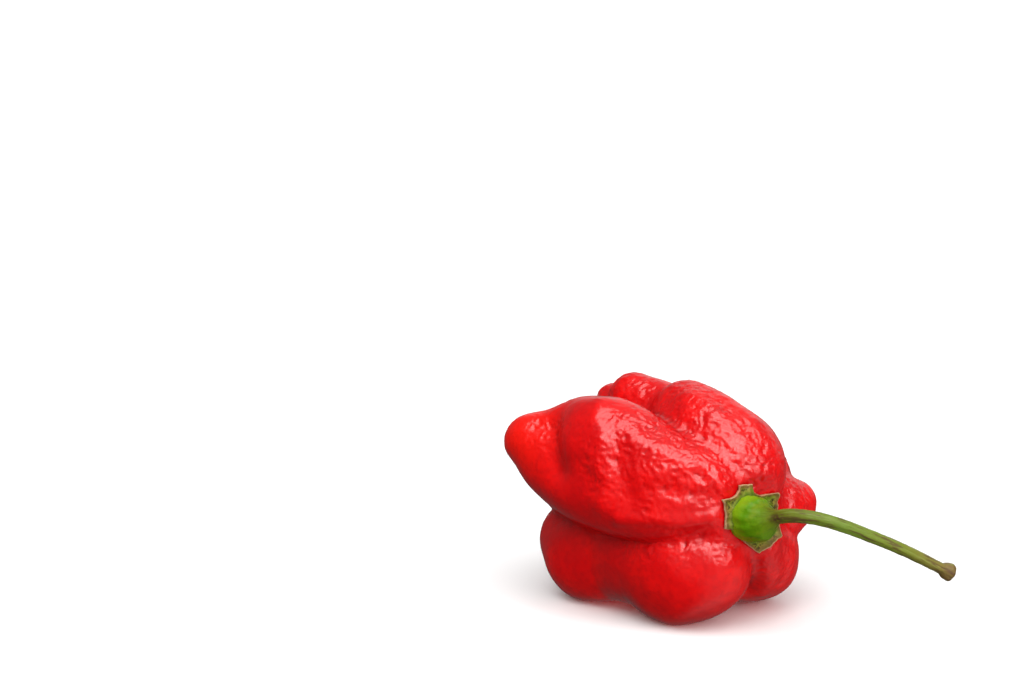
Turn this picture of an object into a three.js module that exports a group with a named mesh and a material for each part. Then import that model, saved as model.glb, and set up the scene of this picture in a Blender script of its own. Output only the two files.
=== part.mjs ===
// A ripe red chilli pepper of the squat, deeply lobed kind, lying on its side as picked.
// Three pieces: the fruit, the toothed calyx that caps its stem end, and the stem.
// Millimetres and degrees, +Z up. The origin is on the table, under the middle of the whole pepper.
// +X runs from the fruit's blunt nose to the far end of the stem, and the calyx faces -Y and a little +X.
import * as THREE from "three";
import { mergeVertices } from "three/addons/utils/BufferGeometryUtils.js";

// ---------- driving dimensions ----------

// the fruit's overall sizes as it lies
const FRUIT_WIDTH = 52.7; // along X
const FRUIT_DEPTH = 41.9; // along Y
const FRUIT_HEIGHT = 38.7; // along Z, before its lobes flatten against the table
const REST_FLAT = 0.4; // how far the lowest lobes flatten where they bear on the table
const CREASE_FILL = 0.55; // how softly neighbouring lobes run together: small means a sharp furrow

// the calyx, an uneven star
const CALYX_THICKNESS = 0.9; // in the middle, under the stem
const CALYX_RIM = 0.4; // at its papery edge
// Its outline, round from the +X side and over the top: degrees, and millimetres from its middle. It runs
// straight from one corner to the next, and its six teeth are the corners that stand furthest out.
const CALYX_OUTLINE = [
  [5, 5.9], [20, 6.4], [30, 6.2], [60, 4], [85, 4.2], [90, 5.5], [115, 6.3], [130, 5.2],
  [150, 7.3], [165, 5.7], [190, 5.4], [210, 4.2], [240, 4.3], [260, 4.7], [285, 6.2],
  [305, 6.3], [325, 7.5], [340, 6.4],
];

// the stem
const STEM_COLLAR = 7.8; // across its swollen base, where it sits on the calyx
const STEM_OFFSET = 0.7; // how far that stands from the calyx's middle, away from +X
const STEM_COLLAR_LENGTH = 6.4; // how long the base takes to slim down
const STEM_THICKNESS = 2.4; // beyond the collar
const STEM_END_THICKNESS = 1.8; // before the bead
const STEM_LENGTH = 37.3; // along its curve
const STEM_BEAD = 3; // across the bead where it parted from the plant
const STEM_BEAD_LENGTH = 2.2;

const SEAT_GAP = 0.3; // clearance between pieces that touch

// how finely the pieces are faceted
const FRUIT_COLUMNS = 92;
const FRUIT_ROWS = 40;
const CALYX_COLUMNS = 72; // a corner every 5 degrees, so that each corner of the outline has one
const CALYX_RINGS = 5;
const STEM_SIDES = 18;
const STEM_ROWS = 54;

// ---------- materials ----------

const skin = new THREE.MeshStandardMaterial({ color: 0xc8101a, roughness: 0.3, metalness: 0 });
const calyxGreen = new THREE.MeshStandardMaterial({ color: 0x7a8a2e, roughness: 0.65, metalness: 0 });
const stemGreen = new THREE.MeshStandardMaterial({ color: 0x5f9a1e, roughness: 0.5, metalness: 0 });

// ---------- helpers ----------

const { clamp, degToRad, lerp, radToDeg, smoothstep } = THREE.MathUtils;

// Every piece is a closed ball, lathe or drum whose points are moved by a rule.
function reshape(geometry, rule) {
  geometry.deleteAttribute("normal");
  geometry.deleteAttribute("uv");
  const shaped = mergeVertices(geometry);
  const position = shaped.getAttribute("position");
  const point = new THREE.Vector3();
  for (let i = 0; i < position.count; i++) {
    rule(point.fromBufferAttribute(position, i));
    position.setXYZ(i, point.x, point.y, point.z);
  }
  shaped.computeVertexNormals();
  return shaped;
}

function namedMesh(name, geometry, material) {
  const mesh = new THREE.Mesh(geometry, material);
  mesh.name = name;
  return mesh;
}

// ---------- the fruit ----------

// The fruit's own directions: along it from the stem end to the tip, sideways and up across it.
const along = new THREE.Vector3(-0.745, 0.648, 0.158).normalize();
const side = new THREE.Vector3().crossVectors(along, new THREE.Vector3(0, 0, 1)).normalize();
const up = new THREE.Vector3().crossVectors(side, along);

// The fruit is grown from lobes, as its chambers do. Each is a thick cord along a curve, given by points on
// the curve with the cord's radius there: [x, y, z, radius].
const STATIONS = 5; // steps from one given point of a lobe to the next
function lobe(points) {
  const curve = new THREE.CatmullRomCurve3(points.map(([x, y, z]) => new THREE.Vector3(x, y, z)));
  const spans = points.length - 1;
  const balls = [];
  for (let i = 0; i <= spans * STATIONS; i++) {
    const index = Math.min(Math.floor(i / STATIONS), spans - 1);
    const share = smoothstep(i / STATIONS - index, 0, 1);
    const radius = lerp(points[index][3], points[index + 1][3], share);
    balls.push({ middle: curve.getPoint(i / (spans * STATIONS)), radius });
  }
  return balls;
}

const LOBES = [
  // the core that the lobes stand on
  lobe([[1, -6, 17.5, 8], [-10.5, 0, 19.5, 12.5], [-23, 8, 21.5, 9]]),
  // front lobe, upper ridge
  lobe([
    [-2, -12, 23, 5], [-6, -11, 24.5, 7], [-12.5, -9, 26.5, 7.5],
    [-19.5, -5, 29, 8.2], [-24.5, 0, 28.5, 7.2], [-28, 4, 26.5, 6],
  ]),
  // front lobe, lower ridge, out to the blunt nose
  lobe([
    [-2.5, -12, 19, 4], [-8.5, -12, 20.5, 5.7], [-15, -10, 21.2, 6.5],
    [-21.5, -6, 22.5, 7], [-27.5, -1, 24, 6], [-33, 3, 28, 4.5],
  ]),
  // top lobe
  lobe([[1.5, -9, 22.5, 6], [0.7, -6, 25.5, 8.7], [-3.5, -3, 29, 8.5], [-6.5, 2, 32.2, 6.4]]),
  // floor of the valley behind the front lobe
  lobe([[-23, 9, 25, 7.5], [-14, 6, 25, 8]]),
  // knuckle behind the top lobe
  lobe([[-9.5, 8, 31, 5.5], [-15, 12, 33.5, 4.3]]),
  // small knuckle behind that
  lobe([[-16, 13, 27, 6.5], [-18.6, 16, 32.4, 2.9]]),
  // right lobe
  lobe([[2.5, 4, 16.5, 8], [7, 0, 17, 6.5], [11.4, 2, 17.2, 4]]),
  // lower right lobe
  lobe([[4.5, -9, 14, 4.5], [6, -3, 9.5, 6.5], [5, 0.5, 6.7, 6.4], [2.5, 8, 7, 6.5]]),
  // fold under the lower right lobe
  lobe([[2, -2, 6.5, 5], [4.5, 3, 6, 5]]),
  // lower front lobe, round to the left
  lobe([
    [-1, -13, 14, 4.2], [-6.5, -9.5, 9.6, 9.6], [-12.5, -5, 9.6, 8],
    [-18, 0, 8.6, 7], [-22.5, 4, 7.6, 7.6], [-25, 9, 9, 6.5],
  ]),
  // upper back lobe
  lobe([[3.5, 5, 20.5, 8], [-4, 12, 23.5, 8], [-14, 15, 23.5, 7.5], [-22, 16, 21.5, 6]]),
  // middle back lobe
  lobe([[2, 9, 11, 7], [-6, 14, 11.5, 8], [-17.5, 15, 13, 7.5], [-23.5, 15, 15.5, 6]]),
  // lower back lobe
  lobe([[0.5, 8, 7.5, 7], [-9, 12, 8, 7], [-17.5, 13, 8.5, 7]]),
  // underside, clear of the table between the lobes that it stands on
  lobe([[-15, 4, 10.5, 8], [-4, 2, 10.5, 8]]),
];

// How far a point lies from one lobe, negative inside.
const reach = new THREE.Vector3();
const span = new THREE.Vector3();
function fromLobe(point, balls) {
  let nearest = Infinity;
  for (let i = 1; i < balls.length; i++) {
    const a = balls[i - 1];
    const b = balls[i];
    span.subVectors(b.middle, a.middle);
    reach.subVectors(point, a.middle);
    const share = clamp(reach.dot(span) / span.lengthSq(), 0, 1);
    const radius = lerp(a.radius, b.radius, share);
    nearest = Math.min(nearest, reach.addScaledVector(span, -share).length() - radius);
  }
  return nearest;
}

// The fruit is flat where the calyx sits. This is the middle of that seat, and the way it faces.
const seatMiddle = new THREE.Vector3(2.5, -14.6, 19.5);
const seatFacing = new THREE.Vector3(0.575, -0.815, 0.06).normalize();
const SEAT_RADIUS = STEM_OFFSET + STEM_COLLAR / 2 + 0.2; // flat out to here
const SEAT_BLEND = 3; // and back to the lobes' shape over this
const SEAT_DEPTH = 5; // how far below the seat its flatness counts

// How far a point lies from the fruit's surface, negative inside. The lobes run together by a soft
// minimum, which leaves a rounded furrow where two of them meet, and the seat takes over round its middle.
const fromSeat = new THREE.Vector3();
function surface(point) {
  let total = 0;
  for (const balls of LOBES) total += Math.exp(-fromLobe(point, balls) / CREASE_FILL);
  const lobed = -CREASE_FILL * Math.log(total);
  fromSeat.subVectors(point, seatMiddle);
  const height = fromSeat.dot(seatFacing);
  if (height < -SEAT_DEPTH) return lobed;
  const radius = fromSeat.addScaledVector(seatFacing, -height).length();
  return lerp(height, lobed, smoothstep(radius, SEAT_RADIUS, SEAT_RADIUS + SEAT_BLEND));
}

// Where a line from inside the fruit leaves its skin: the outermost crossing, found by walking in from
// outside and then halving the last step.
const OUTSIDE = 40;
const WALK = 0.4;
const HALVINGS = 14;
function leaveSkin(from, direction, target) {
  let far = OUTSIDE;
  while (far > WALK && surface(target.copy(from).addScaledVector(direction, far - WALK)) > 0) far -= WALK;
  let near = far - WALK;
  for (let i = 0; i < HALVINGS; i++) {
    const middle = (near + far) / 2;
    if (surface(target.copy(from).addScaledVector(direction, middle)) > 0) far = middle;
    else near = middle;
  }
  return target.copy(from).addScaledVector(direction, near);
}

// Points thrown out on straight lines crowd on one wall of a deep furrow and miss its other wall. So each
// one moves to the middle of its neighbours and back onto the skin, until they lie evenly on both walls.
const EVENING_ROUNDS = 14;
const SLOPE_STEP = 0.02;
function backOntoSkin(point, slope, probePoint) {
  for (let i = 0; i < 2; i++) {
    const here = surface(point);
    for (const axis of ["x", "y", "z"]) {
      probePoint.copy(point)[axis] += SLOPE_STEP;
      slope[axis] = (surface(probePoint) - here) / SLOPE_STEP;
    }
    point.addScaledVector(slope, -here / slope.lengthSq());
  }
}

function evenOut(geometry) {
  const position = geometry.getAttribute("position");
  const corners = geometry.getIndex().array;
  const neighbours = Array.from({ length: position.count }, () => new Set());
  for (let i = 0; i < corners.length; i += 3) {
    const [a, b, c] = corners.subarray(i, i + 3);
    neighbours[a].add(b).add(c);
    neighbours[b].add(c).add(a);
    neighbours[c].add(a).add(b);
  }
  const point = new THREE.Vector3();
  const slope = new THREE.Vector3();
  const work = new THREE.Vector3();
  for (let round = 0; round < EVENING_ROUNDS; round++) {
    const before = position.clone();
    neighbours.forEach((around, i) => {
      point.set(0, 0, 0);
      for (const other of around) point.add(work.fromBufferAttribute(before, other));
      point.divideScalar(around.size);
      backOntoSkin(point, slope, work);
      position.setXYZ(i, point.x, point.y, point.z);
    });
  }
}

// The skin is thrown out from a line inside the fruit, on a ball's grid with its poles at the stem end and
// at the tip.
const heartStart = new THREE.Vector3(-3, -8, 19);
const heartEnd = new THREE.Vector3(-23, 7, 22);
const from = new THREE.Vector3();
const direction = new THREE.Vector3();
const grown = reshape(new THREE.SphereGeometry(1, FRUIT_COLUMNS, FRUIT_ROWS), (point) => {
  from.lerpVectors(heartStart, heartEnd, (1 - point.y) / 2);
  direction.copy(up).multiplyScalar(point.x)
    .addScaledVector(along, -point.y)
    .addScaledVector(side, point.z);
  leaveSkin(from, direction, point);
});
evenOut(grown);

// The grown shape is brought to the fruit's overall sizes and let down until its lowest lobes press flat.
const grownBox = new THREE.Box3().setFromBufferAttribute(grown.getAttribute("position"));
const grownSize = grownBox.getSize(new THREE.Vector3());
const growth = new THREE.Vector3(FRUIT_WIDTH, FRUIT_DEPTH, FRUIT_HEIGHT).divide(grownSize);
const tableLevel = grownBox.min.z * growth.z + REST_FLAT;
function settle(point) {
  point.multiply(growth);
  point.z -= tableLevel;
  return point;
}

const fruit = namedMesh("fruit", reshape(grown, (point) => {
  settle(point);
  point.z = Math.max(point.z, 0);
}), skin);

// ---------- the calyx ----------

// The seat on the finished fruit, the way it faces, and its two directions across.
const seat = settle(seatMiddle.clone());
const outward = seatFacing.clone().divide(growth).normalize();
const seatUp = new THREE.Vector3(0, 0, 1).projectOnPlane(outward).normalize();
const seatRight = new THREE.Vector3().crossVectors(seatUp, outward);

function onSeat(target, across, upward, height) {
  return target.copy(seat)
    .addScaledVector(seatRight, across)
    .addScaledVector(seatUp, upward)
    .addScaledVector(outward, height);
}

// How high the fruit's skin stands above the seat's plane at a place on it.
const PROBE = 15;
const probe = new THREE.Raycaster();
function skinHeight(across, upward) {
  onSeat(probe.ray.origin, across, upward, PROBE);
  probe.ray.direction.copy(outward).negate();
  return PROBE - probe.intersectObject(fruit)[0].distance;
}

// How far out the calyx reaches at an angle.
function calyxReach(angle) {
  const turned = CALYX_OUTLINE.findIndex(([corner]) => corner >= angle - 1e-6);
  const next = turned < 0 ? 0 : turned;
  const last = (next + CALYX_OUTLINE.length - 1) % CALYX_OUTLINE.length;
  const [nextAngle, nextReach] = CALYX_OUTLINE[next];
  const [lastAngle, lastReach] = CALYX_OUTLINE[last];
  const whole = (nextAngle - lastAngle + 360) % 360;
  const part = (angle - lastAngle + 360) % 360;
  return lerp(lastReach, nextReach, part / whole);
}

// A lathe's profile goes out along the calyx's top, at height 1, and back along its underside, at height 0.
// Its rim lies on the skin like the rest, thinner than the middle, which is level under the stem.
const profile = [];
for (let ring = 0; ring <= CALYX_RINGS; ring++) profile.push(new THREE.Vector2(ring / CALYX_RINGS, 1));
for (let ring = CALYX_RINGS; ring >= 0; ring--) profile.push(new THREE.Vector2(ring / CALYX_RINGS, 0));
const calyx = namedMesh("calyx", reshape(new THREE.LatheGeometry(profile, CALYX_COLUMNS), (point) => {
  const angle = (radToDeg(Math.atan2(point.z, point.x)) + 360) % 360;
  const radius = Math.hypot(point.x, point.z) * calyxReach(angle);
  const across = radius * Math.cos(degToRad(angle));
  const upward = radius * Math.sin(degToRad(angle));
  const thinning = smoothstep(radius, SEAT_RADIUS, SEAT_RADIUS + SEAT_BLEND);
  const thickness = lerp(CALYX_THICKNESS, CALYX_RIM, thinning);
  onSeat(point, across, upward, skinHeight(across, upward) + SEAT_GAP + point.y * thickness);
}), calyxGreen);

// ---------- the stem ----------

// Its middle line leaves the calyx straight out, then turns over towards +X and droops. These are its
// bends, from the middle of the seat; the whole line is then brought to the stem's length.
const STRAIGHT_START = 2.5;
const STEM_BENDS = [
  [4.1, -4.8, 1.1], [6.5, -6.4, 1.8], [10, -7.2, 1.8], [14.1, -7, 0.7],
  [19.3, -6.2, -1.8], [25.1, -5, -4.9], [32.7, -3.2, -9.1],
];
const bends = [
  new THREE.Vector3(),
  outward.clone().multiplyScalar(STRAIGHT_START),
  ...STEM_BENDS.map(([x, y, z]) => new THREE.Vector3(x, y, z)),
];
const stretch = STEM_LENGTH / new THREE.CatmullRomCurve3(bends).getLength();
const stemFoot = onSeat(new THREE.Vector3(), -STEM_OFFSET, 0, SEAT_GAP + CALYX_THICKNESS + SEAT_GAP);
for (const bend of bends) bend.multiplyScalar(stretch).add(stemFoot);
const stemLine = new THREE.CatmullRomCurve3(bends);
const stemFrames = stemLine.computeFrenetFrames(STEM_ROWS);

// The stem's radius at a distance from its foot: the collar, the slim shaft, and the bead at the end.
function stemRadius(distance) {
  const shaft = lerp(STEM_THICKNESS, STEM_END_THICKNESS, distance / STEM_LENGTH) / 2;
  const swelling = 1 - smoothstep(distance, 0, STEM_COLLAR_LENGTH);
  const beadShare = clamp((STEM_LENGTH - distance) / STEM_BEAD_LENGTH, 0, 1);
  const bead = Math.sqrt(Math.sin(Math.PI * lerp(0.2, 1, beadShare)));
  return shaft + (STEM_COLLAR / 2 - shaft) * swelling + (STEM_BEAD / 2 - shaft) * bead;
}

const stemPoint = new THREE.Vector3();
const drum = new THREE.CylinderGeometry(1, 1, 1, STEM_SIDES, STEM_ROWS);
const stem = namedMesh("stem", reshape(drum, (point) => {
  const row = Math.round((0.5 - point.y) * STEM_ROWS);
  const radius = stemRadius((row / STEM_ROWS) * STEM_LENGTH);
  stemLine.getPointAt(row / STEM_ROWS, stemPoint);
  stemPoint.addScaledVector(stemFrames.normals[row], radius * point.x);
  stemPoint.addScaledVector(stemFrames.binormals[row], radius * point.z);
  point.copy(stemPoint);
}), stemGreen);

// ---------- the whole pepper ----------

const pepper = new THREE.Group();
pepper.add(fruit, calyx, stem);
const middle = new THREE.Box3().setFromObject(pepper, true).getCenter(new THREE.Vector3());
pepper.position.set(-middle.x, -middle.y, 0);

export default pepper;
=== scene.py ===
# %% [markdown]
# # A ripe chilli pepper, of the very hot and wrinkled kind
#
# The fruit is a thin, shiny, hollow pod that has grown faster than it could stay round, so it
# is a bundle of swollen lobes with deep furrows between them. A green star of leaf, the
# calyx, lies on its shoulder, and a bent green stem grows out of the middle of the star.
#
# A measured model fixes every size and place. This first cell opens it and keeps its box, so
# that the finished skin can be fitted into it further on.

# %% Open the measured model
import math

import bpy
import numpy as np
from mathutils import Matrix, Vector, noise
from mathutils.bvhtree import BVHTree


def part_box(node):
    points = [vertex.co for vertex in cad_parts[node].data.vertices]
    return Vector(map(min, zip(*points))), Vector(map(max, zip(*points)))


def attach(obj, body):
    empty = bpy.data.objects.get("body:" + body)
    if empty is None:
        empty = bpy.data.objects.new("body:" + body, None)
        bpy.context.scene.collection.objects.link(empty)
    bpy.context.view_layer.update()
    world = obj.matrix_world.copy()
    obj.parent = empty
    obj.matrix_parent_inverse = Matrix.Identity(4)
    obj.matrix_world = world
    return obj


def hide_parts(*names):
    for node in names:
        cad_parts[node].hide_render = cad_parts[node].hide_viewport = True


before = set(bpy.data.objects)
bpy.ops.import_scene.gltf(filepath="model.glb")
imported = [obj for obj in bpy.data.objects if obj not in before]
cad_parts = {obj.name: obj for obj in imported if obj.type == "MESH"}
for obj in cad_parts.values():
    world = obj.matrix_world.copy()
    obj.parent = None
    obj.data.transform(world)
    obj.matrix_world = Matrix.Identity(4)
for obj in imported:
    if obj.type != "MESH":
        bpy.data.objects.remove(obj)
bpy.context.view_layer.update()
fruit_low, fruit_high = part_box("fruit")
MM = 0.001

# %% [markdown]
# ## The camera
#
# A small object on a table is pictured from a little way off and a little above. A long lens
# from half a metre keeps the stem, which comes towards us, from looking too big. The camera
# is placed from the middle of the fruit, and turned only up and down, so upright things stay
# upright in the picture.

# %% Camera
LENS = 100
LOOK_DOWN = 12
FROM_FRUIT = Vector((-25.0, -463.5, 124.5)) * MM

camera_data = bpy.data.cameras.new("Camera")
camera_data.lens = LENS
camera_data.sensor_width = 36
camera = bpy.data.objects.new("Camera", camera_data)
camera.location = (fruit_low + fruit_high) / 2 + FROM_FRUIT
camera.rotation_euler = (math.radians(90 - LOOK_DOWN), 0, 0)
bpy.context.scene.collection.objects.link(camera)
bpy.context.scene.camera = camera
print("camera at", [round(value, 4) for value in camera.location])

# %% [markdown]
# ## Nodes by hand
#
# The room and every finish below are small networks of nodes. They could be wired with the
# mouse in the shader editor, but in code they can be read from top to bottom, and they come
# out the same each time. Four helpers keep them short: one adds a node and plugs values or
# other nodes into it, one does a sum with two numbers, one multiplies, and one eases a number
# from 0 to 1 between two limits, which is how a soft edge is made.


# %% Node helpers
def node(tree, kind, settings=None, inputs=None):
    made = tree.nodes.new(kind)
    for name, value in (settings or {}).items():
        setattr(made, name, value)
    for name, value in (inputs or {}).items():
        if isinstance(value, bpy.types.NodeSocket):
            tree.links.new(value, made.inputs[name])
        else:
            made.inputs[name].default_value = value
    return made


def sums(tree, operation, first, second):
    return node(tree, "ShaderNodeMath", {"operation": operation}, {0: first, 1: second}).outputs[0]


def times(tree, first, second):
    return sums(tree, "MULTIPLY", first, second)


def eased(tree, value, low, high):
    inputs = {"Value": value, "From Min": low, "From Max": high}
    return node(tree, "ShaderNodeMapRange", {"interpolation_type": "SMOOTHSTEP"}, inputs).outputs[0]


print("helpers: node, sums, times, eased")

# %% [markdown]
# ## The room
#
# What a shiny thing shows is mostly the room around it. To the camera the world is plain
# white, but to the pepper it is a dim room, because a shiny red skin is only deep red where
# it has something dark to reflect. The room is painted by direction: a little lighter towards
# the ceiling, with a pale backdrop behind on the right, and the shine of a pale table low in
# front on the right. A picture of a real room would do as well, but a few eased numbers are
# enough for soft shapes, and are easy to change.

# %% The room
ROOM_LOW = 0.12
ROOM_TOP = 0.3
BACKDROP = 0.75
TABLE_SHINE = 0.8

bpy.context.scene.view_settings.view_transform = "Standard"
world = bpy.data.worlds.new("Studio")
world.use_nodes = True
bpy.context.scene.world = world
tree = world.node_tree
ray = node(tree, "ShaderNodeLightPath")
direction = node(tree, "ShaderNodeTexCoord").outputs["Generated"]
to_right, to_back, to_top = node(tree, "ShaderNodeSeparateXYZ", None, {0: direction}).outputs
heights = {"Value": to_top, "From Min": -0.1, "From Max": 1.0, "To Min": ROOM_LOW, "To Max": ROOM_TOP}
room = node(tree, "ShaderNodeMapRange", None, heights).outputs[0]
behind = times(tree, eased(tree, to_back, 0.25, 0.9), eased(tree, to_right, -0.35, 0.1))
behind = times(tree, behind, eased(tree, to_top, -0.1, 0.15))
room = sums(tree, "ADD", room, times(tree, behind, BACKDROP))
below = times(tree, eased(tree, to_right, -0.3, 0.5), eased(tree, to_top, 0.0, -0.3))
below = times(tree, below, eased(tree, to_back, 0.5, -0.1))
room = sums(tree, "ADD", room, times(tree, below, TABLE_SHINE))
to_the_eye = ray.outputs["Is Camera Ray"]
shown = node(tree, "ShaderNodeMix", {"data_type": "FLOAT"}, {0: to_the_eye, 2: room, 3: 1.0}).outputs[0]
tree.links.new(shown, tree.nodes["Background"].inputs["Strength"])
tree.nodes["Background"].inputs["Color"].default_value = (1, 1, 1, 1)
print("room from", ROOM_LOW, "to", ROOM_TOP, "with a backdrop of", BACKDROP)

# %% [markdown]
# ## The lamps
#
# Soft light comes from something broad, so each lamp is a sun with a wide disc. An area lamp
# is as soft, but a sun lights the whole sheet evenly, and needs a direction and no place.
# Lamps for light and lamps for shine are kept apart. The first three shape the pepper and
# draw its shadow, and the last three only show in its gloss. A studio does the same with
# white boards and black card, and the shine can then sit where it tells most about the shape
# without bleaching the red.


# %% Lamps
def soft_lamp(name, light_from, strength, breadth, shine_only=False):
    data = bpy.data.lights.new(name, "SUN")
    data.energy = strength
    data.angle = math.radians(breadth)
    lamp = bpy.data.objects.new(name, data)
    lamp.rotation_mode = "QUATERNION"
    lamp.rotation_quaternion = Vector(light_from).to_track_quat("Z", "Y")
    lamp.visible_diffuse = not shine_only
    lamp.visible_glossy = shine_only
    bpy.context.scene.collection.objects.link(lamp)


soft_lamp("Overhead", (-0.25, -0.3, 0.9), 1.7, 60)
soft_lamp("Right", (0.6, -0.7, 0.42), 0.7, 50)
soft_lamp("Fill", (0.22, -0.81, 0.55), 2.6, 104)
soft_lamp("Overhead_shine", (0.2, -0.35, 1), 8.3, 70, shine_only=True)
soft_lamp("Right_shine", (0.66, -0.66, 0.36), 1.8, 44, shine_only=True)
soft_lamp("Front_shine", (0.25, -0.8, 0.7), 2.2, 44, shine_only=True)
print("lamps:", [lamp.name for lamp in bpy.data.lights])

# %% [markdown]
# ## The white sheet
#
# The pepper lies on a white sheet. It is one large face, which runs so far back that it shows
# no edge there, and stops close in front of the pepper, as paper does on a table. It takes
# the shadow, but is left out of the shine and the bounced light: a white sheet this close
# would lay a pink haze over the whole underside. Every finish starts in the same way, so a
# helper makes the material and hands back its nodes, its shader and the place on the object.

# %% White sheet
SHEET_FRONT = -0.075
SHEET_FAR = 3.0


def finish_of(name):
    material = bpy.data.materials.new(name)
    material.use_nodes = True
    tree = material.node_tree
    place = node(tree, "ShaderNodeTexCoord").outputs["Object"]
    return material, tree, tree.nodes["Principled BSDF"], place


sheet_corners = [
    (-SHEET_FAR, SHEET_FRONT, 0), (SHEET_FAR, SHEET_FRONT, 0),
    (SHEET_FAR, SHEET_FAR, 0), (-SHEET_FAR, SHEET_FAR, 0),
]
sheet_mesh = bpy.data.meshes.new("Sheet")
sheet_mesh.from_pydata(sheet_corners, [], [(0, 1, 2, 3)])
sheet = bpy.data.objects.new("Sheet", sheet_mesh)
bpy.context.scene.collection.objects.link(sheet)
sheet.visible_glossy = False
sheet.visible_diffuse = False
paper, tree, shader, place = finish_of("White paper")
shader.inputs["Base Color"].default_value = (0.95, 0.945, 0.94, 1)
shader.inputs["Roughness"].default_value = 0.9
shader.inputs["Specular IOR Level"].default_value = 0
sheet_mesh.materials.append(paper)
print("sheet", 2 * SHEET_FAR, "m wide")

# %% [markdown]
# ## The lobes
#
# A lobe is a swelling that runs along the pod. Each one is written here as a row of balls,
# with a place and a radius in millimetres, and a smooth curve carries both the place and the
# radius from one ball to the next. The curve passes through every ball, and doesn't swing
# out wide between them. Such lobes could be sculpted by hand, but rows of numbers can be
# checked with a ruler, and the same rows drew the measured model, so the two agree.

# %% The rows of balls
STATIONS = 12  # balls along the curve for each one that is written
LOBES = {  # across, back, up and radius, mm
    "core": [[1, -6, 17.5, 8], [-10.5, 0, 19.5, 12.5], [-23, 8, 21.5, 9]],
    "front, upper ridge": [
        [-2, -12, 23, 5], [-6, -11, 24.5, 7], [-12.5, -9, 26.5, 7.5],
        [-19.5, -5, 29, 8.2], [-24.5, 0, 28.5, 7.2], [-28, 4, 26.5, 6],
    ],
    "front, lower ridge to the nose": [
        [-2.5, -12, 19, 4], [-8.5, -12, 20.5, 5.7], [-15, -10, 21.2, 6.5],
        [-21.5, -6, 22.5, 7], [-27.5, -1, 24, 6], [-33, 3, 28, 4.5],
    ],
    "top": [[1.5, -9, 22.5, 6], [0.7, -6, 25.5, 8.7], [-3.5, -3, 29, 8.5], [-6.5, 2, 32.2, 6.4]],
    "valley floor": [[-23, 9, 25, 7.5], [-14, 6, 25, 8]],
    "knuckle": [[-9.5, 8, 31, 5.5], [-15, 12, 33.5, 4.3]],
    "small knuckle": [[-16, 13, 27, 6.5], [-18.6, 16, 32.4, 2.9]],
    "right": [[2.5, 4, 16.5, 8], [7, 0, 17, 6.5], [11.4, 2, 17.2, 4]],
    "lower right": [[4.5, -9, 14, 4.5], [6, -3, 9.5, 6.5], [5, 0.5, 6.7, 6.4], [2.5, 8, 7, 6.5]],
    "fold": [[2, -2, 6.5, 5], [4.5, 3, 6, 5]],
    "lower front": [
        [-1, -13, 14, 4.2], [-6.5, -9.5, 9.6, 9.6], [-12.5, -5, 9.6, 8],
        [-18, 0, 8.6, 7], [-22.5, 4, 7.6, 7.6], [-25, 9, 9, 6.5],
    ],
    "upper back": [[3.5, 5, 20.5, 8], [-4, 12, 23.5, 8], [-14, 15, 23.5, 7.5], [-22, 16, 21.5, 6]],
    "middle back": [[2, 9, 11, 7], [-6, 14, 11.5, 8], [-17.5, 15, 13, 7.5], [-23.5, 15, 15.5, 6]],
    "lower back": [[0.5, 8, 7.5, 7], [-9, 12, 8, 7], [-17.5, 13, 8.5, 7]],
    "underside": [[-15, 4, 10.5, 8], [-4, 2, 10.5, 8]],
}


def smooth_line(places, steps):
    line = np.vstack([2 * places[0] - places[1], places, 2 * places[-1] - places[-2]])
    found = []
    for p0, p1, p2, p3 in zip(line[:-3], line[1:-2], line[2:-1], line[3:]):
        d0, d1, d2 = [np.linalg.norm(b - a) ** 0.5 for a, b in ((p0, p1), (p1, p2), (p2, p3))]
        leave = ((p1 - p0) / d0 - (p2 - p0) / (d0 + d1) + (p2 - p1) / d1) * d1
        arrive = ((p2 - p1) / d1 - (p3 - p1) / (d1 + d2) + (p3 - p2) / d2) * d1
        for t in np.arange(steps) / steps:
            bend = (3 * (p2 - p1) - 2 * leave - arrive) * t**2
            twist = (2 * (p1 - p2) + leave + arrive) * t**3
            found.append(p1 + leave * t + bend + twist)
    return np.array([*found, places[-1]])


def row_of_balls(corners):
    return smooth_line(np.array(corners, float), STATIONS)


rows = [row_of_balls(corners) for corners in LOBES.values()]
print(len(rows), "lobes,", sum(len(row) for row in rows), "balls")

# %% [markdown]
# ## The skin over the lobes
#
# One skin covers all the lobes, and it dips between them. A distance does this: for any point
# we ask how far it is outside each lobe, and blend the answers so that two lobes that meet
# make a narrow rounded furrow and not a knife cut. Where the blended distance is nothing,
# there is the skin. Metaballs work in the same way, but give no say over each furrow, and
# here the two rows of the front are blended broadly, as one swelling, and all others tightly.

# %% Distance to one lobe, and a blend of distances
def nearest_on(row, points):
    step = row[1:, :3] - row[:-1, :3]
    long = np.linalg.norm(step, axis=1)
    widening = (row[1:, 3] - row[:-1, 3]) / long
    reach = points[:, None, :] - row[None, :-1, :3]
    along = (reach * step).sum(2) / long
    beside = np.sqrt(np.maximum((reach**2).sum(2) - along**2, 0))
    share = np.clip((along + beside * widening / np.sqrt(1 - widening**2)) / long, 0, 1)
    off = reach - share[..., None] * step
    length = np.linalg.norm(off, axis=2)
    gap = length - (row[:-1, 3] + share * (row[1:, 3] - row[:-1, 3]))
    best = gap.argmin(1)
    every = np.arange(len(points))
    return gap[every, best], off[every, best] / length[every, best][:, None]


def blended(gaps, slopes, fill):
    nearest = gaps.min(0)
    share = np.exp((nearest - gaps) / fill)
    total = share.sum(0)
    return nearest - fill * np.log(total), (share[..., None] * slopes).sum(0) / total[:, None]


middle_of_core = np.array([LOBES["core"][1][:3]], float) + 0.01
print("the middle of the core is", -nearest_on(rows[0], middle_of_core)[0].round(1), "mm inside it")

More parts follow.
